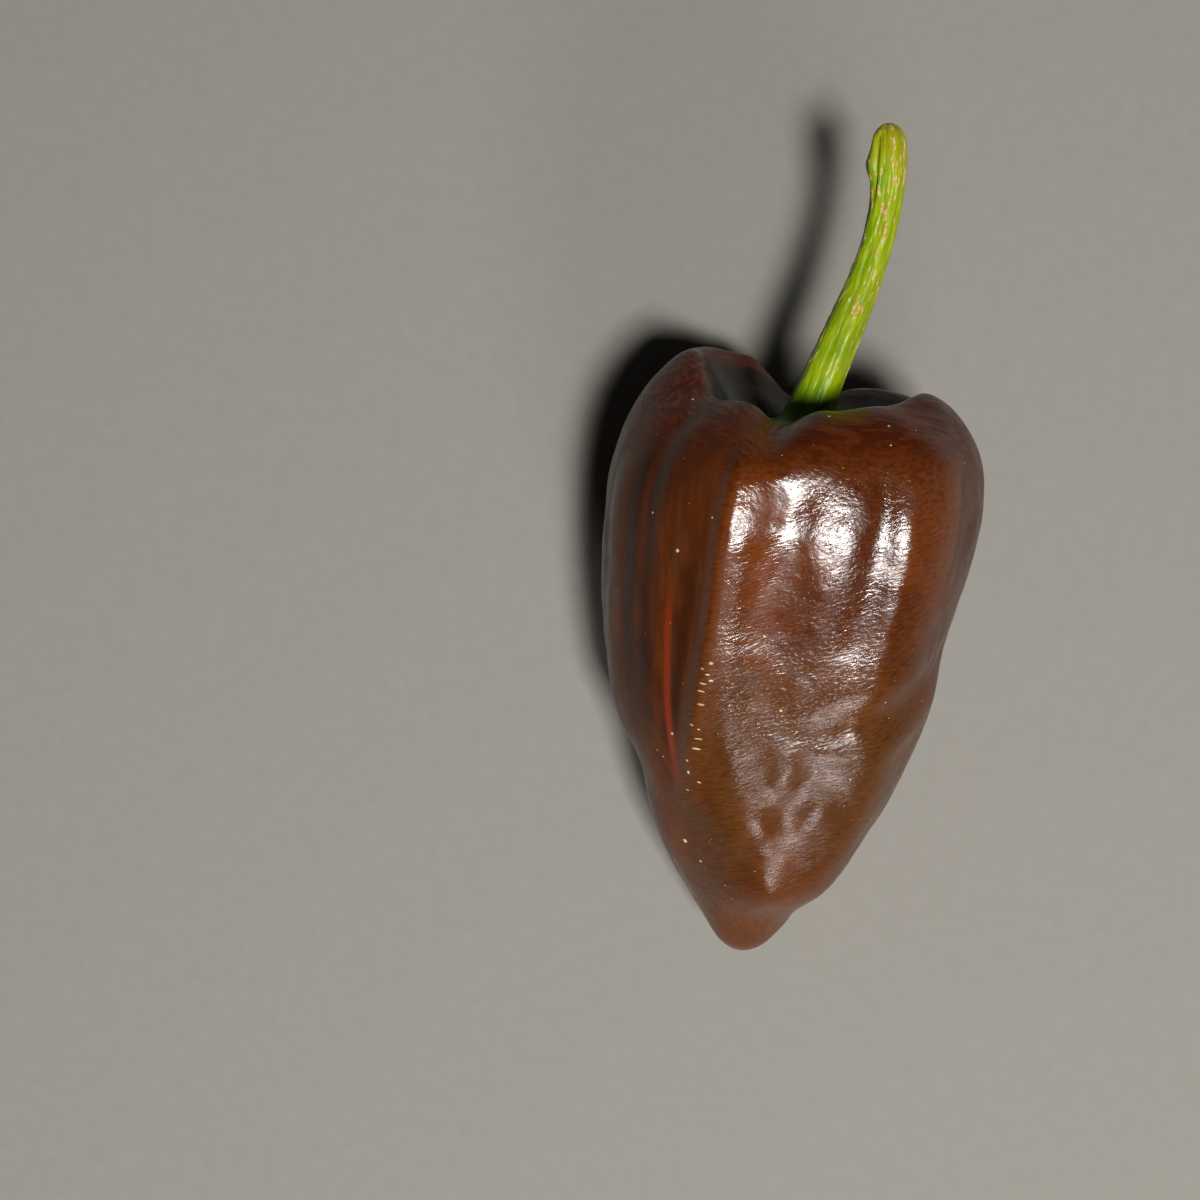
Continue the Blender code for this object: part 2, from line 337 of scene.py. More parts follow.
def skin_zones(angle, station, radius, share):
    """How much of the hollow's painted shade, the rim's red, the streak's red and the rim's lip a place
    has.
    """
    # The hollow's near black is painted shade.
    inside = 1.0 - smooth_step(*HOLLOW_ENDS, share)
    shoulder = (1.0 - inside) * (1.0 - smooth_step(-1.0, 8.0, station))
    across = abs(round_from(angle, STREAK_ANGLE, radius))
    streak = band(station, 22.0, 30.0, 47.0, 54.0) * (1.0 - smooth_step(0.3, 0.9, across))
    lip = bell((share - LIP_SHARE) / 0.006) * band(angle % 360.0, 20.0, 45.0, 120.0, 140.0)
    return inside, shoulder, streak, lip


def skin_satin(angle, station, radius, share):
    """How far the skin's wax is worn to a satin: on the flanks, and a little towards the tip."""
    left = smooth_step(0.5, 3.0, left_of_ridge(angle, station, radius))
    right = smooth_step(-6.0, 20.0, -turn_between(angle, RIGHT_FLANK))
    lower = 0.2 * smooth_step(34.0, 46.0, station)
    return max(left, right, lower) * smooth_step(0.2, 0.24, share)


def skin_painted_reflection(angle, station, radius):
    """How far a place is on a painted reflection: on the right shoulder, or in a strip by the ridge."""
    # Painted reflection: a paler patch that starts at the right shoulder's crisp edge, and a strip by
    # the ridge.
    reflection_panel = band(round_from(angle, SHOULDER_EDGE, radius), -0.5, 0.3, 3.0, 9.0)
    reflection_panel *= band(station, -3.0, 1.0, 10.0, 34.0)
    ridge_reflection = band(left_of_ridge(angle, station, radius), -3.4, -2.4, -0.6, 0.2)
    return max(reflection_panel, ridge_reflection * band(station, 12.0, 20.0, 38.0, 52.0))


def skin_tones(angle, station, radius):
    """How much of the painted glow, the flanks' painted shade, the front's olive and the notch's folds a
    place has.
    """
    left = left_of_ridge(angle, station, radius)
    at, drift, end = VALLEY
    valley = round_from(angle, drifted(at, drift, station / end), radius)
    # A painted glow, as of light shining through the skin: in the valley, along the ridge's left edge
    # and towards the tip.
    painted_glow = max(
        bell((valley + 1.0) / 3.2) * band(station, 4.0, 12.0, 24.0, 46.0),
        bell((left + 0.2) / 0.7) * band(station, 8.0, 14.0, 50.0, 62.0),
        bell((left - 1.5) / 4.5) * smooth_step(42.0, 54.0, station),
    )
    on_flank = smooth_step(1.0, 3.5, left)
    olive = smooth_step(24.0, 42.0, station) * (1.0 - 0.6 * smooth_step(54.0, 68.0, station))
    olive *= 1.0 - on_flank
    # Painted shade: a band left of the ridge, and lines in the left flank's furrows.
    line_shade = 0.6 * bell((left - 4.0) / 2.2) * band(station, 12.0, 24.0, 44.0, 60.0)
    for line, depth in FURROW_SHADE_LINES:
        fade = band(station, 0.0, 10.0, 30.0, 60.0)
        line_shade = max(line_shade, depth * fade * bell(round_from(angle, line, radius) / 2.0))
    # Painted shade over the left flank, and over the right flank beyond the painted reflection's edge.
    left_flank_shade = 0.5 * on_flank * (1.0 - 0.7 * smooth_step(44.0, 58.0, station)) + 0.5 * line_shade
    edge = round_from(angle, SHOULDER_EDGE, radius)
    right_flank_shade = 0.62 * (1.0 - smooth_step(-0.5, 0.3, edge)) * (1.0 - smooth_step(24.0, 44.0, station))
    notch = bell(round_from(angle, NOTCH_ANGLE, radius) / 3.6) * bell((station - 4.0) / 4.5)
    return painted_glow, max(left_flank_shade, right_flank_shade), olive, notch


class Shading:
    """A material's node tree, with a word for each thing that is done to it here."""

    def __init__(self, name):
        self.material = bpy.data.materials.new(name)
        self.material.use_nodes = True
        self.tree = self.material.node_tree
        self.shader = self.tree.nodes["Principled BSDF"]
        self.place = self.tree.nodes.new("ShaderNodeTexCoord").outputs["Object"]

    def node(self, kind, **settings):
        node = self.tree.nodes.new(kind)
        for setting, value in settings.items():
            setattr(node, setting, value)
        return node

    def join(self, source, socket):
        self.tree.links.new(source, socket)

    def mapped(self, places, scale=(1.0, 1.0, 1.0), turned=0.0):
        """Places stretched by a scale, or turned round Z by some degrees."""
        mapping = self.node("ShaderNodeMapping", vector_type="POINT")
        mapping.inputs["Rotation"].default_value = (0.0, 0.0, math.radians(turned))
        mapping.inputs["Scale"].default_value = scale
        self.join(places, mapping.inputs["Vector"])
        return mapping.outputs["Vector"]

    def grain(self, places, detail, roughness, distortion):
        """Noise at the given places, with one grain to each unit."""
        texture = self.node("ShaderNodeTexNoise")
        numbers = {"Scale": 1.0, "Detail": detail, "Roughness": roughness, "Distortion": distortion}
        for socket, number in numbers.items():
            texture.inputs[socket].default_value = number
        self.join(places, texture.inputs["Vector"])
        return texture.outputs["Fac"]

    def noise(self, scale, detail=2.0, roughness=0.5, distortion=0.0):
        """Noise whose grains have the given number to the metre along X, Y and Z."""
        return self.grain(self.mapped(self.place, scale=scale), detail, roughness, distortion)

    def skin_noise(self, scale, slant, detail=2.0, roughness=0.5, distortion=0.0):
        """Noise that follows the skin: grains to the metre round it and along it, at a slant."""
        skin_map = self.node("ShaderNodeAttribute", attribute_name="skin_map").outputs["Vector"]
        slanted = self.mapped(skin_map, turned=slant)
        return self.grain(self.mapped(slanted, scale=(*scale, 1.0)), detail, roughness, distortion)

    def number_of(self, attribute):
        """The number that each vertex carries under a name."""
        return self.node("ShaderNodeAttribute", attribute_name=attribute).outputs["Fac"]

    def parts_of(self, attribute):
        """The four numbers that each vertex carries under a name."""
        source = self.node("ShaderNodeAttribute", attribute_name=attribute)
        split = self.node("ShaderNodeSeparateColor")
        self.join(source.outputs["Color"], split.inputs["Color"])
        numbers = {name: split.outputs[name] for name in ("Red", "Green", "Blue")}
        numbers["Alpha"] = source.outputs["Alpha"]
        return numbers

    def between(self, value, low, high, to_low=0.0, to_high=1.0):
        """Stretches the part of a value from low to high to the new range, smoothly."""
        node = self.node("ShaderNodeMapRange", interpolation_type="SMOOTHSTEP")
        numbers = {"From Min": low, "From Max": high, "To Min": to_low, "To Max": to_high}
        for socket, number in numbers.items():
            node.inputs[socket].default_value = number
        self.join(value, node.inputs["Value"])
        return node.outputs["Result"]

    def maths(self, operation, first, second):
        node = self.node("ShaderNodeMath", operation=operation)
        for value, socket in ((first, node.inputs[0]), (second, node.inputs[1])):
            if isinstance(value, float):
                socket.default_value = value
            else:
                self.join(value, socket)
        return node.outputs["Value"]

    def times(self, first, second):
        return self.maths("MULTIPLY", first, second)

    def mix(self, share, first, second):
        """A colour between two, each a colour or the outcome of another mix."""
        node = self.node("ShaderNodeMix", data_type="RGBA")
        self.join(share, node.inputs["Factor"])
        for colour, socket in ((first, node.inputs["A"]), (second, node.inputs["B"])):
            if isinstance(colour, tuple):
                socket.default_value = (*colour, 1.0)
            else:
                self.join(colour, socket)
        return node.outputs["Result"]

    def paint(self, colour, below, share, most=1.0):
        """A colour laid over what is below, by a share of 0 to 1 times the most that it covers."""
        if most < 1.0:
            share = self.times(share, most)
        return self.mix(share, below, colour)

    def bump(self, height, depth, below=None):
        """Raises the surface by a height of 0 to 1 times a depth in metres, over what lies below."""
        node = self.node("ShaderNodeBump")
        node.inputs["Strength"].default_value = 1.0
        node.inputs["Distance"].default_value = depth
        self.join(height, node.inputs["Height"])
        if below:
            self.join(below, node.inputs["Normal"])
        return node.outputs["Normal"]


# The skin's colours, from its ground to the marks on it.
CHOCOLATE = (0.064, 0.0130, 0.0022)
ORANGE_BROWN = (0.128, 0.0290, 0.0038)
OLIVE_BROWN = (0.088, 0.036, 0.0090)
# Painted glow, as of light shining through the skin.
PAINTED_GLOW_RUST = (0.16, 0.036, 0.0050)
# Painted reflection, lilac-brown, on the right shoulder and by the ridge.
PAINTED_LILAC_REFLECTION = (0.120, 0.040, 0.0160)
# Painted shade of the flanks, and the near black of the left flank's furrows.
SHADED_FLANK_BROWN = (0.096, 0.0220, 0.0032)
FLANK_SHADE = (0.020, 0.0060, 0.0020)
FURROW_SHADE = (0.011, 0.0034, 0.0014)
PALE_FIBRE = (0.170, 0.062, 0.014)
DARK_FIBRE = (0.034, 0.0075, 0.0016)
RIM_RED = (0.045, 0.0060, 0.0018)
FOLD_RED = (0.150, 0.0280, 0.0060)
STREAK_RED = (0.24, 0.027, 0.0050)
# Painted shade, near black, in the crown's hollow.
HOLLOW_SHADE = (0.005, 0.0030, 0.0016)
LIP_GREEN = (0.130, 0.105, 0.018)
# How deep the skin's finest texture is.
CRINKLE_DEPTH = 0.054 * MM
FIBRE_DEPTH = 0.026 * MM
FOLD_DEPTH = 0.216 * MM
FAN_DEPTH = 0.36 * MM


def pod_skin_material():
    """Waxy chocolate skin, finely wrinkled round the pod, with a painted orange-brown glow, reflections
    and shade.
    """
    skin = Shading("waxy_pod_skin")
    zones = skin.parts_of("zones")
    tones = skin.parts_of("tones")
    patches = skin.between(skin.noise((90.0, 60.0, 90.0), detail=3.0), 0.36, 0.68)
    colour = skin.mix(patches, CHOCOLATE, ORANGE_BROWN)
    colour = skin.paint(OLIVE_BROWN, colour, tones["Blue"], 0.6)
    mottle = skin.between(skin.noise((240.0, 160.0, 240.0), detail=3.0, roughness=0.6), 0.32, 0.62)
    # Painted glow, mottled, where light would shine through the skin.
    colour = skin.paint(PAINTED_GLOW_RUST, colour, skin.times(tones["Red"], mottle), 0.65)
    # Painted reflection on the right shoulder and in the strip by the ridge.
    colour = skin.paint(PAINTED_LILAC_REFLECTION, colour, skin.number_of("reflection_panel"), 0.75)
    # Painted shade: the flanks browner and darker, streaked lengthways, and darkest in the left flank's
    # furrows.
    shaded_flank = skin.between(tones["Green"], 0.0, 0.5)
    lengthways = skin.between(skin.noise((650.0, 70.0, 650.0)), 0.35, 0.62)
    colour = skin.paint(SHADED_FLANK_BROWN, colour, shaded_flank, 0.5)
    colour = skin.paint(FLANK_SHADE, colour, skin.times(lengthways, shaded_flank), 0.4)
    colour = skin.paint(FURROW_SHADE, colour, skin.between(tones["Green"], 0.5, 1.0), 0.85)
    fibres = skin.skin_noise((850.0, 3000.0), -24.0, detail=3.0, distortion=0.35)
    front = skin.maths("SUBTRACT", 1.0, shaded_flank)
    colour = skin.paint(PALE_FIBRE, colour, skin.times(skin.between(fibres, 0.45, 0.70), front), 0.25)
    colour = skin.paint(DARK_FIBRE, colour, skin.times(skin.between(fibres, 0.50, 0.32), front), 0.42)
    colour = skin.paint(RIM_RED, colour, zones["Green"], 0.85)
    folds = skin.skin_noise((260.0, 1500.0), -7.0, distortion=0.3)
    fan = skin.skin_noise((260.0, 1500.0), 52.0, distortion=0.3)
    for lines, share in ((folds, zones["Green"]), (fan, tones["Alpha"])):
        colour = skin.paint(FOLD_RED, colour, skin.times(skin.between(lines, 0.48, 0.62), share), 0.6)
    colour = skin.paint(STREAK_RED, colour, zones["Blue"], 0.9)
    # Painted shade: near black inside the crown's hollow.
    colour = skin.paint(HOLLOW_SHADE, colour, zones["Red"])
    colour = skin.paint(LIP_GREEN, colour, zones["Alpha"], 0.55)
    skin.join(colour, skin.shader.inputs["Base Color"])
    crinkle = skin.skin_noise((1500.0, 1900.0), -15.0, detail=3.0, roughness=0.6, distortion=0.6)
    smoother_where_glow_painted = skin.between(tones["Red"], 0.0, 1.0, 1.0, 0.35)
    normal = skin.bump(skin.times(crinkle, smoother_where_glow_painted), CRINKLE_DEPTH)
    normal = skin.bump(fibres, FIBRE_DEPTH, below=normal)
    normal = skin.bump(skin.times(folds, zones["Green"]), FOLD_DEPTH, below=normal)
    normal = skin.bump(skin.times(fan, tones["Alpha"]), FAN_DEPTH, below=normal)
    skin.join(normal, skin.shader.inputs["Normal"])
    gloss = skin.between(skin.noise((330.0, 300.0, 330.0)), 0.3, 0.7, 0.14, 0.24)
    satin = skin.times(skin.number_of("satin"), 0.16)
    skin.join(skin.maths("ADD", gloss, satin), skin.shader.inputs["Roughness"])
    skin.shader.inputs["Specular IOR Level"].default_value = 0.4
    return skin.material


# The skin's map keeps this width, as a radius, where the pod narrows, so the fibres stay as fine there.
MAP_LEAST_RADIUS = 12.0


def pod():
    """The finer pod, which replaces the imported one."""
    mesh, places = ball(POD_AROUND, POD_RINGS)
    zones = mesh.verts.layers.float_color["zones"]
    tones = mesh.verts.layers.float_color["tones"]
    skin_map = mesh.verts.layers.float_vector["skin_map"]
    satin = mesh.verts.layers.float["satin"]
    reflection_panel = mesh.verts.layers.float["reflection_panel"]
    for vertex, angle, share in places:
        outline = pod_outline(angle, share)[0]
        vertex[satin] = skin_satin(angle, outline.x, outline.y, share)
        vertex[reflection_panel] = skin_painted_reflection(angle, outline.x, outline.y)
        around = math.radians((angle + 90.0) % 360.0) * max(outline.y, MAP_LEAST_RADIUS)
        vertex[zones] = skin_zones(angle, outline.x, outline.y, share)
        vertex[tones] = skin_tones(angle, outline.x, outline.y)
        vertex[skin_map] = (around * MM, outline.x * MM, 0.0)
        vertex.co = settled(pod_skin(angle, share))
    piece = finished(mesh, "pod_fine", pod_skin_material())
    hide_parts("pod")


pod()

# Cork ticks and specks: the skin split finely across the ridge and healed with pale cork, and small
# pale pores dot the rest. They grew in the skin and stand a little proud of it.
# Each tick: angle, station, half length across the ridge, half width.
TICKS = (
    (111.8, 33.0, 0.32, 0.24),
    (114.3, 33.9, 0.30, 0.13),
    (112.6, 34.6, 0.36, 0.12),
    (113.9, 35.9, 0.55, 0.14),
    (111.6, 35.4, 0.34, 0.15),
    (114.4, 37.0, 0.60, 0.12),
    (114.5, 38.9, 0.55, 0.17),
    (118.0, 42.1, 0.42, 0.16),
    (115.5, 42.5, 0.22, 0.12),
    (115.9, 43.9, 0.60, 0.12),
    (116.9, 45.4, 0.70, 0.15),
    (121.6, 47.6, 0.28, 0.20),
    (121.8, 49.4, 0.24, 0.30),
    (117.9, 50.6, 0.34, 0.14),
    (123.9, 52.4, 0.30, 0.12),
)
# Each speck: angle, station, half size.
SPECKS = (
    (128.8, 44.9, 0.30),
    (131.5, 61.2, 0.42),
    (122.8, 63.6, 0.22),
    (97.5, 28.9, 0.20),
    (89.6, 39.1, 0.24),
    (83.6, 41.9, 0.20),
    (73.4, 43.6, 0.18),
    (76.4, 43.6, 0.16),
    (74.9, 47.3, 0.18),
    (62.4, 47.7, 0.17),
    (56.5, 36.3, 0.17),
    (127.7, 19.1, 0.34),
    (139.6, 14.8, 0.22),
    (117.2, 13.8, 0.20),
    (86.7, -0.8, 0.20),
    (65.9, 0.1, 0.20),
    (67.5, 2.4, 0.16),
    (149.5, -0.8, 0.22),
)
# The rest of the pores are strewn over the side that faces up: their number, their smallest half size
# and how much larger the largest is.
PORES = 130
PORE_SIZE = 0.04
PORE_GROWTH = 0.07
CORK_RISE = 0.35
CORK_BROWN = (0.52, 0.36, 0.12)
CORK_PALE = (0.62, 0.52, 0.34)
# A point inside the pod, which the marks' outward side faces away from.
POD_CORE = CALYX_SEAT + Vector((0.0, -35.0, -6.0)) * MM


def share_at(angle, station):
    """The share of the way over the pod at which its skin passes a station outside the crown."""
    low = 0.23
    high = 1.0
    for _ in range(24):
        middle = (low + high) / 2
        if pod_outline(angle, middle)[0].x < station:
            low = middle
        else:
            high = middle
    return low


def mark(mesh, angle, station, half_length, half_width, fineness=2):
    """One small low dome of cork on the skin, longer round the pod than along it."""
    share = share_at(angle, station)
    here = settled(pod_skin(angle, share))
    round_it = (settled(pod_skin(angle + 0.6, share)) - here).normalized()
    along = (settled(pod_skin(angle, share + 0.003)) - here).normalized()
    out = round_it.cross(along).normalized()
    if out.dot(here - POD_CORE) < 0.0:
        out = -out
    along = out.cross(round_it)
    turned = Matrix((round_it, along, out)).transposed()
    dome = bmesh.ops.create_icosphere(mesh, subdivisions=fineness, radius=1.0)["verts"]
    size = Vector((half_length, half_width, CORK_RISE * min(half_length, half_width))) * MM
    for vertex in dome:
        vertex.co = here + turned @ (vertex.co * size)


def cork_marks():
    """All the ticks, specks and pores, as one piece."""
    mesh = bmesh.new()
    for angle, station, half_length, half_width in TICKS:
        mark(mesh, angle, station, half_length, half_width)
    for angle, station, half_size in SPECKS:
        mark(mesh, angle, station, half_size, 0.8 * half_size)
    rng = random.Random(11)
    for _ in range(PORES):
        size = PORE_SIZE + PORE_GROWTH * rng.random() ** 2
        angle = rng.uniform(20.0, 200.0)
        station = rng.uniform(-0.5, 70.0)
        mark(mesh, angle, station, size * rng.uniform(1.0, 1.5), size, fineness=1)
    cork = Shading("skin_cork")
    tint = cork.between(cork.noise((900.0, 900.0, 900.0), detail=1.0), 0.4, 0.6)
    cork.join(cork.mix(tint, CORK_BROWN, CORK_PALE), cork.shader.inputs["Base Color"])
    cork.join(cork.bump(cork.noise((5000.0, 5000.0, 5000.0)), 0.03 * MM), cork.shader.inputs["Normal"])
    cork.shader.inputs["Roughness"].default_value = 0.5
    data = bpy.data.meshes.new("skin_cork")
    mesh.to_mesh(data)
    mesh.free()
    data.shade_smooth()
    data.materials.append(cork.material)
    piece = bpy.data.objects.new("skin_cork", data)
    bpy.context.collection.objects.link(piece)
    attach(piece, "root")


cork_marks()

# The stem and its calyx: one green piece. The calyx sits in the hollow of the crown, and the stem was
# cut or snapped off the plant at a knot.
# The seat that its heights are measured from lies this far from station 0 towards the tip.
STEM_SEAT = 1.25
# The stem leaves the seat and bends: its centre line, as sideways, along and up from the seat.
STEM_PATH = (
    (-0.1, 0.0, 0.0),
    (3.8, 17.0, 0.4),
    (9.6, 25.8, 0.8),
    (5.9, 42.3, 1.2),
)
# Half of the outline of the calyx and stem, from the underside of the calyx, round its rim and up
# the stem to its end: height over the calyx's seat, radius, share of the calyx's teeth.
STEM_OUTLINE = (
    (-2.1, 0.0, 0.0),
    (-2.0, 4.4, 0.1),
    (-1.3, 7.9, 1.0),
    (-0.4, 7.7, 1.0),
    (-0.5, 5.2, 0.15),
    (0.8, 3.8, 0.0),
    (4.0, 3.15, 0.0),
    (8.0, 2.9, 0.0),
    (14.0, 2.65, 0.0),
    (20.0, 2.4, 0.0),
    (26.0, 2.2, 0.0),
    (31.5, 2.15, 0.0),
    (36.5, 2.3, 0.0),
    (40.3, 2.45, 0.0),
    (42.9, 2.1, 0.0),
    (44.1, 1.2, 0.0),
    (44.5, 0.0, 0.0),
)
CALYX_TEETH = 6
TOOTH_LENGTH = 0.7 * MM
STEM_RIDGES = 5
STEM_RIDGE_HEIGHT = 0.14 * MM
# A leaf once sat on the lump beside the stem's end: angle, height over the seat, rise, half size.
STEM_LUMP = (188.0, 39.2, 0.7, 1.8)
STEM_AROUND = 144
STEM_RINGS = 340
# Beside the stem's end its skin is folded in a line that turns as it rises: the angle, how far it turns
# for each millimetre, and the height at which it is at that angle.
FOLD_ANGLE = 141.0
FOLD_TURN = -1.5
FOLD_HEIGHT = 38.0
CORK_HEIGHT = 0.07 * MM
# The stem's patterns are laid out as on an even stem of this radius.
STEM_MAP_RADIUS = 2.4


def stem_line(height):
    """The stem's centre line at a height over the seat: the point and the way that it runs."""
    seat = Vector((0.0, -STEM_SEAT, 0.0)) * MM
    a, b, c, d = (seat + Vector(p) * MM for p in STEM_PATH)
    x = max(height, 0.0) / STEM_OUTLINE[-1][0]
    point = (1 - x) ** 3 * a + 3 * x * (1 - x) ** 2 * b + 3 * x * x * (1 - x) * c + x**3 * d
    along = (1 - x) ** 2 * (b - a) + 2 * x * (1 - x) * (c - b) + x * x * (d - c)
    return point + Vector((0.0, min(height, 0.0) * MM, 0.0)), along.normalized()


def cork_on_stem(angle, height):
    """How corky the stem's skin is at a place: short flecks lengthways, thick in a few places."""
    turn = math.radians(angle)
    x = math.cos(turn) * STEM_MAP_RADIUS
    y = math.sin(turn) * STEM_MAP_RADIUS
    flecks = noise.noise(Vector((x / 0.42, y / 0.42, height / 1.7)))
    patches = noise.noise(Vector((x / 1.5 + 4.0, y / 1.5, height / 4.5)))
    thick = max(
        bell(turn_between(angle, 158.0) / 16.0),
        bell(turn_between(angle, 84.0) / 26.0) * smooth_step(11.0, 15.0, height),
        bell(turn_between(angle, 25.0) / 14.0) * smooth_step(24.0, 31.0, height),
        bell(turn_between(angle, 80.0) / 60.0) * smooth_step(30.0, 40.0, height) * 0.8,
        bell(turn_between(angle, 96.0) / 24.0) * bell((height - 16.5) / 2.0) * 1.3,
    )
    cork = smooth_step(0.30, 0.42, flecks + 0.35 * patches + 0.26 * (thick - 0.6))
    return cork * smooth_step(5.0, 9.0, height)


def stem_unevenness(angle, height):
    """How far the stem's skin stands out from a smooth stem: long ridges and finer ones."""
    turn = math.radians(angle)
    x = math.cos(turn)
    y = math.sin(turn)
    out = STEM_RIDGE_HEIGHT * math.cos(STEM_RIDGES * turn)
    out += 0.09 * MM * noise.noise(Vector((x * 4.5, y * 4.5, height / 7.0)))
    out += 0.05 * MM * noise.noise(Vector((x * 9.0, y * 9.0, height / 2.2)))
    out += 0.03 * MM * noise.noise(Vector((x * 16.0, y * 16.0, height / 0.9)))
    return out


def stem_skin(angle, share):
    """The point of the calyx's and stem's skin at an angle, a share of the way from below to the end."""
    height, radius, teeth = smooth_through(STEM_OUTLINE, share)
    turn = math.radians(angle)
    radius = radius * MM + teeth * TOOTH_LENGTH * math.cos(CALYX_TEETH * turn)
    ridges = (1 - teeth) * smooth_step(0.0, 3.0, height) * stem_unevenness(angle, height)
    at, where, lump, half_size = STEM_LUMP
    across = round_from(angle, at, (radius + ridges) / MM)
    radius += lump * MM * bell(math.hypot(across, height - where) / half_size)
    fold = round_from(angle, FOLD_ANGLE + FOLD_TURN * (height - FOLD_HEIGHT), radius / MM)
    near_end = band(height, 31.0, 37.0, 42.4, 44.0)
    radius -= near_end * (0.42 * bell(fold / 0.42) - 0.16 * bell((fold - 0.9) / 0.5)) * MM
    radius += ridges + CORK_HEIGHT * cork_on_stem(angle, height)
    centre, along = stem_line(height)
    lean = smooth_step(-0.5, 6.0, height)
    along = Vector((0.0, 1.0, 0.0)).lerp(along, lean).normalized()
    sideways = along.cross(Vector((0.0, 0.0, 1.0))).normalized()
    upwards = sideways.cross(along)
    return centre + (sideways * math.cos(turn) + upwards * math.sin(turn)) * radius


# The stem's colours, from its ground to the marks on it, and how deep its texture is.
STEM_GREEN = (0.19, 0.295, 0.003)
STEM_YELLOW = (0.325, 0.395, 0.005)
FRESH_SHADE = (0.085, 0.21, 0.002)
FRESH_GREEN = (0.20, 0.34, 0.004)
END_YELLOW = (0.30, 0.27, 0.005)
DOT_GREEN = (0.08, 0.16, 0.002)
STEM_CORK_BROWN = (0.42, 0.23, 0.07)
STEM_CORK_TAN = (0.66, 0.48, 0.20)
STREAK_DEPTH = 0.05 * MM
GRAIN_DEPTH = 0.02 * MM
DOT_DEPTH = 0.015 * MM


def stem_skin_material():
    """Yellow-green skin, fresher green on its left and painted darker as shadow near the pod, with tan
    cork along it.
    """
    skin = Shading("ribbed_stem_skin")
    zones = skin.parts_of("zones")
    streaks = skin.skin_noise((1500.0, 230.0), 0.0, detail=4.0, roughness=0.6)
    colour = skin.mix(skin.between(streaks, 0.34, 0.64), STEM_GREEN, STEM_YELLOW)
    fresh_and_shadow_green = skin.mix(skin.between(streaks, 0.3, 0.7), FRESH_SHADE, FRESH_GREEN)
    # Fresher green on the left side, and a painted shadow of the crown's rim near the pod.
    colour = skin.paint(fresh_and_shadow_green, colour, zones["Red"])
    colour = skin.paint(END_YELLOW, colour, zones["Green"], 0.75)
    dots = skin.skin_noise((2600.0, 1500.0), 0.0)
    colour = skin.paint(DOT_GREEN, colour, skin.between(dots, 0.60, 0.72), 0.35)
    cork = skin.between(zones["Blue"], 0.25, 0.75)
    cork_colour = skin.mix(skin.between(dots, 0.35, 0.65), STEM_CORK_BROWN, STEM_CORK_TAN)
    colour = skin.paint(cork_colour, colour, cork, 0.85)
    skin.join(colour, skin.shader.inputs["Base Color"])
    fine = skin.skin_noise((3800.0, 900.0), 0.0)
    normal = skin.bump(streaks, STREAK_DEPTH)
    normal = skin.bump(fine, GRAIN_DEPTH, below=normal)
    normal = skin.bump(dots, DOT_DEPTH, below=normal)
    skin.join(normal, skin.shader.inputs["Normal"])
    skin.join(skin.between(cork, 0.0, 1.0, 0.33, 0.75), skin.shader.inputs["Roughness"])
    skin.shader.inputs["Specular IOR Level"].default_value = 0.22
    return skin.material


def stem_and_calyx():
    """The finer stem and calyx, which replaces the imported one."""
    mesh, places = ball(STEM_AROUND, STEM_RINGS)
    zones = mesh.verts.layers.float_color["zones"]
    skin_map = mesh.verts.layers.float_vector["skin_map"]
    for vertex, angle, share in places:
        height = smooth_through(STEM_OUTLINE, share)[0]
        # Near the pod the green is painted darker as the crown's shadow; the left side is fresher green.
        painted_base_shadow = 1.0 - smooth_step(2.0, 8.0, height)
        left = 0.75 * bell(turn_between(angle, 175.0) / 55.0)
        left *= 1.0 - 0.4 * smooth_step(34.0, 42.0, height)
        end = smooth_step(37.0, 43.5, height)
        around = math.radians((angle + 90.0) % 360.0) * STEM_MAP_RADIUS
        vertex[zones] = (max(painted_base_shadow, left), end, cork_on_stem(angle, height), 1.0)
        vertex[skin_map] = (around * MM, height * MM, 0.0)
        vertex.co = settled(stem_skin(angle, share))
    piece = finished(mesh, "stem_and_calyx_fine", stem_skin_material())
    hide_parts("stem_and_calyx")


stem_and_calyx()

# The table: a plain, matt and pale top, which the chilli lies on. It is part of the stage, not of the
# chilli.
TABLE_SIZE = 3.0
TABLE_SHADE = (0.25, 0.237, 0.210)
TABLE_LIGHT = (0.28, 0.267, 0.240)


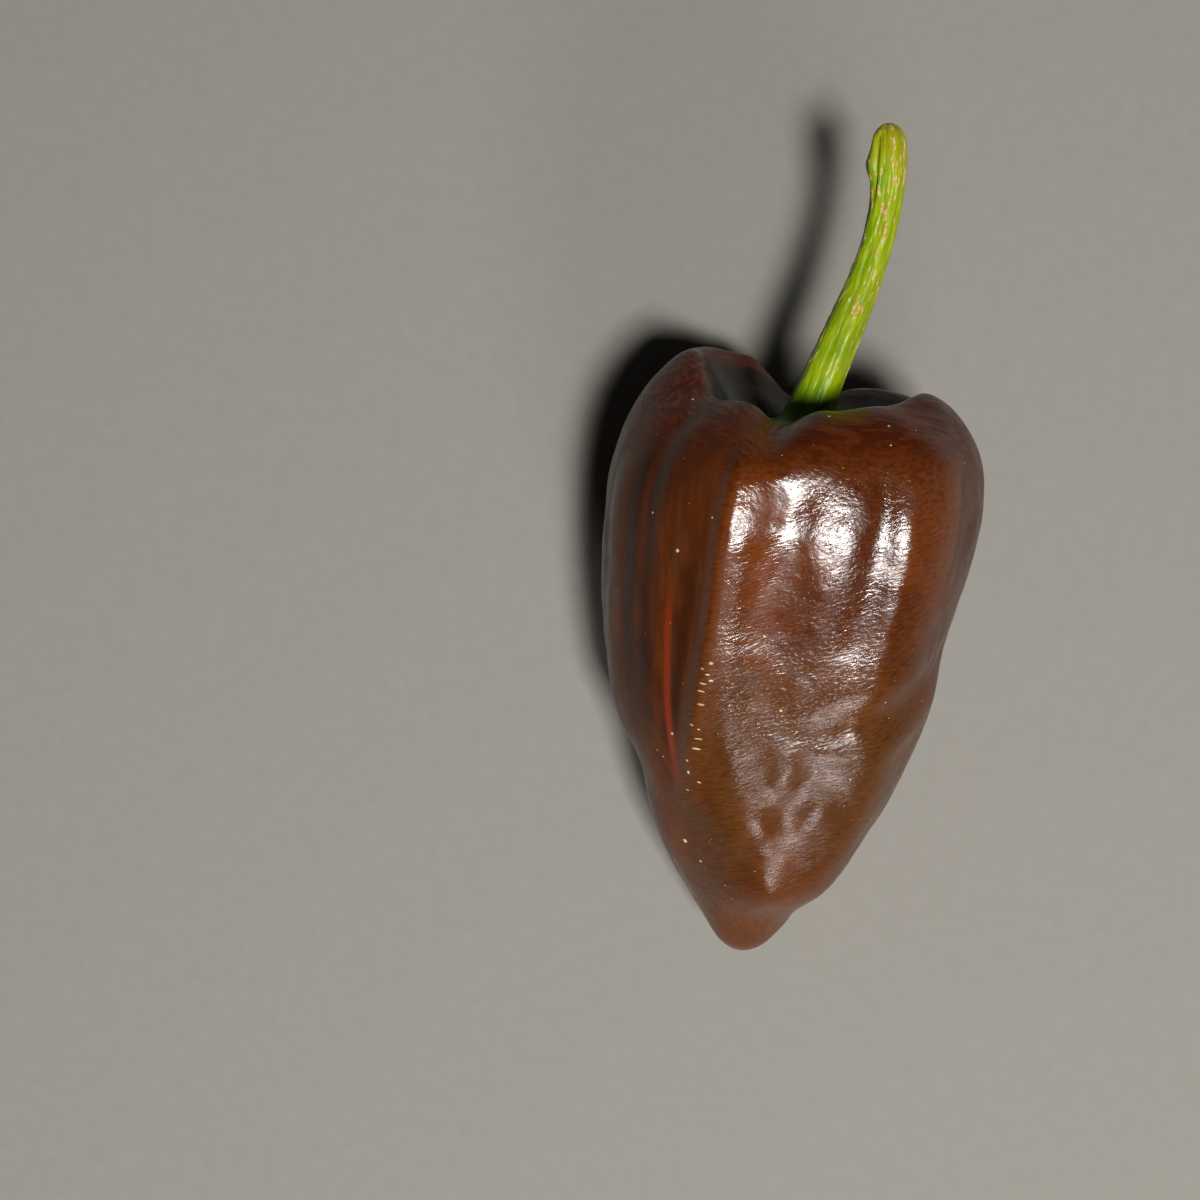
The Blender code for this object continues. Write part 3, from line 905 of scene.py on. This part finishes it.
def table():
    mesh = bmesh.new()
    bmesh.ops.create_grid(mesh, x_segments=1, y_segments=1, size=TABLE_SIZE / 2)
    data = bpy.data.meshes.new("table")
    mesh.to_mesh(data)
    mesh.free()
    top = Shading("table")
    grain = top.noise((400.0, 400.0, 400.0))
    top.join(top.mix(grain, TABLE_SHADE, TABLE_LIGHT), top.shader.inputs["Base Color"])
    top.shader.inputs["Roughness"].default_value = 0.9
    data.materials.append(top.material)
    piece = bpy.data.objects.new("table", data)
    bpy.context.collection.objects.link(piece)


table()

# Soft studio light from the tip's side: a warm key nearly overhead, a weak lilac one below it, which
# the middle of the skin mirrors, and a cool one low down, which the skin near the tip mirrors.
LIGHTS_AIM = Vector((0.0, 0.0, 30.0)) * MM
STUDIO_DARK = (0.015, 0.015, 0.016)


def soft_light(name, direction, distance, size, power, colour):
    """A rectangle of light facing the chilli. Its direction: the turn from -Y and the lean from +Z."""
    light = bpy.data.lights.new(name, "AREA")
    light.shape = "RECTANGLE"
    light.size, light.size_y = size
    light.energy = power
    light.color = colour
    lamp = bpy.data.objects.new(name, light)
    bpy.context.collection.objects.link(lamp)
    turn, lean = map(math.radians, direction)
    back = Vector((math.sin(turn) * math.sin(lean), -math.cos(turn) * math.sin(lean), math.cos(lean)))
    lamp.location = back * distance + LIGHTS_AIM
    lamp.rotation_mode = "QUATERNION"
    lamp.rotation_quaternion = (-back).to_track_quat("-Z", "Y")


soft_light("key", (34.0, 17.0), 0.8, (0.14, 0.15), 7.5, (1.0, 0.98, 0.95))
soft_light("sky", (16.0, 33.0), 0.9, (0.10, 0.07), 0.10, (0.92, 0.84, 1.0))
soft_light("low", (18.0, 60.0), 0.8, (0.24, 0.11), 1.7, (1.0, 0.95, 0.96))

world = bpy.data.worlds.new("studio")
world.use_nodes = True
world.node_tree.nodes["Background"].inputs["Color"].default_value = (*STUDIO_DARK, 1.0)
bpy.context.scene.world = world
bpy.context.scene.view_settings.view_transform = "Standard"

# The camera looks straight down, turned a little, so that the pod leans as it does in the photo.
CAMERA_TURN = math.radians(6.2)
CAMERA_PLACE = (-0.0261, -0.0101, 0.285)
CAMERA_LENS = 53.8

camera = bpy.data.objects.new("camera", bpy.data.cameras.new("camera"))
camera.data.sensor_width = 36.0
camera.data.lens = CAMERA_LENS
camera.location = CAMERA_PLACE
camera.rotation_euler = (0.0, 0.0, CAMERA_TURN)
bpy.context.collection.objects.link(camera)
bpy.context.scene.camera = camera
